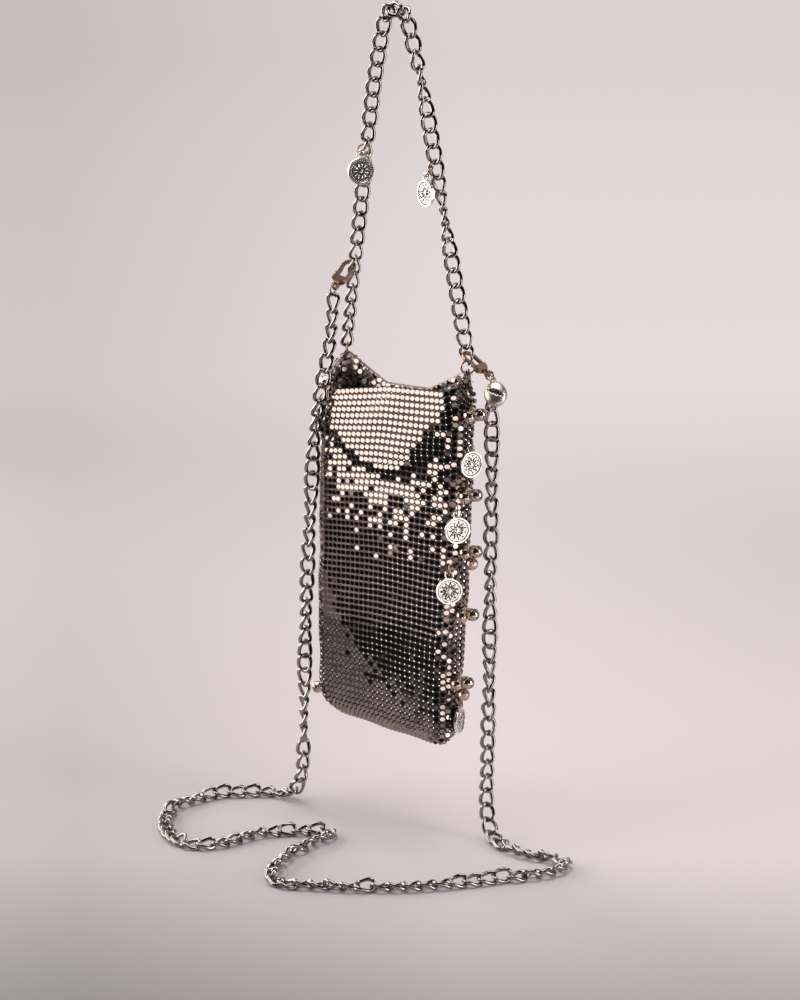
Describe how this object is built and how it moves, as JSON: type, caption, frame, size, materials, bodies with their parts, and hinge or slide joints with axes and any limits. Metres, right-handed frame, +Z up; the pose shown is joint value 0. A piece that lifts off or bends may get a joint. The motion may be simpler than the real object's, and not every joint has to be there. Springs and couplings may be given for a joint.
{
  "type": "chain sling bag",
  "caption": "Phone-size pouch of silver metal disc mesh on a short chain handle, with a long chain strap on lobster clasps, coin charms, bell bunches and a cowrie charm.",
  "frame": {"origin": "the point where the handle hangs, under the upper wire of its middle link", "axes": "+Z up along the hanging line; the pouch's front faces -Y; +X is the right side seen from the front"},
  "size_m": [0.2518, 0.1459, 0.4861],
  "materials": {
    "disc_mesh": "polished discs with dark joints",
    "chain": "polished nickel",
    "coin_silver": "polished silver with dark recesses",
    "bell_brass": "antique brass",
    "pale_gold": "polished light gold"
  },
  "bodies": {
    "bag": {"bells_left_1": "bell_brass", "bells_left_2": "bell_brass", "bells_right_1": "bell_brass", "bells_right_2": "bell_brass", "bells_right_3": "bell_brass", "bells_right_4": "bell_brass", "bells_right_5": "bell_brass", "clasp_left_body": "pale_gold", "clasp_right_body": "pale_gold", "coin_handle_left": "coin_silver", "coin_handle_right": "coin_silver", "coin_left": "coin_silver", "coin_right_1": "coin_silver", "coin_right_2": "coin_silver", "coin_right_3": "coin_silver", "coin_right_4": "coin_silver", "coin_ring_handle_left": "pale_gold", "coin_ring_handle_right": "pale_gold", "coin_ring_left": "pale_gold", "coin_ring_right_1": "pale_gold", "coin_ring_right_2": "pale_gold", "coin_ring_right_3": "pale_gold", "coin_ring_right_4": "pale_gold", "cowrie": "coin_silver", "ear_ring_left": "pale_gold", "ear_ring_right": "pale_gold", "handle_chain_left": "chain", "handle_chain_right": "chain", "pouch": "disc_mesh", "strap_chain_left": "chain", "strap_chain_right": "chain", "strap_ring_left": "pale_gold", "strap_ring_right": "pale_gold"},
    "clasp_left_lever": {"clasp_left_lever": "pale_gold"},
    "clasp_right_lever": {"clasp_right_lever": "pale_gold"}
  },
  "joints": [
    {"name": "clasp_left_lever_open", "type": "hinge", "parent": "bag", "child": "clasp_left_lever", "pos_m": [-0.04213, -0.0031, -0.15955], "axis": [-0.1175, 0.7022, -0.7022], "range_deg": [0, 18], "stiffness_Nm_per_rad": 0.005},
    {"name": "clasp_right_lever_open", "type": "hinge", "parent": "bag", "child": "clasp_right_lever", "pos_m": [0.05547, 0.00348, -0.20218], "axis": [-0.531, 0.039, -0.8465], "range_deg": [0, 18], "stiffness_Nm_per_rad": 0.005}
  ]
}
